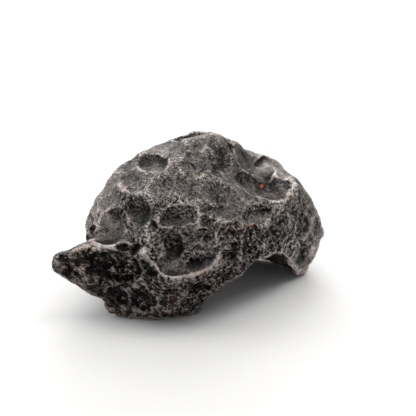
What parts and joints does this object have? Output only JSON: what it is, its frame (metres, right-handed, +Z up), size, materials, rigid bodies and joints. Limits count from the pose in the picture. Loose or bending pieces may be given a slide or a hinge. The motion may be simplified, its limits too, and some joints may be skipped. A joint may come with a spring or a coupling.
{
  "type": "meteorite",
  "caption": "Weathered iron meteorite with thumbprint hollows, a pointed nose and an arched underside; rests on its own three feet.",
  "frame": {"origin": "middle of the underside of the stone's box, on the surface that it rests on", "axes": "+X along the length, away from the pointed nose; +Y towards the far side; +Z up"},
  "size_m": [0.1124, 0.0819, 0.0703],
  "materials": {
    "weathered_iron": "dark, satin to rough, pitted, with paler worn ridges and a few specks of rust"
  },
  "bodies": {
    "root": {"meteorite": "weathered_iron"}
  },
  "joints": []
}
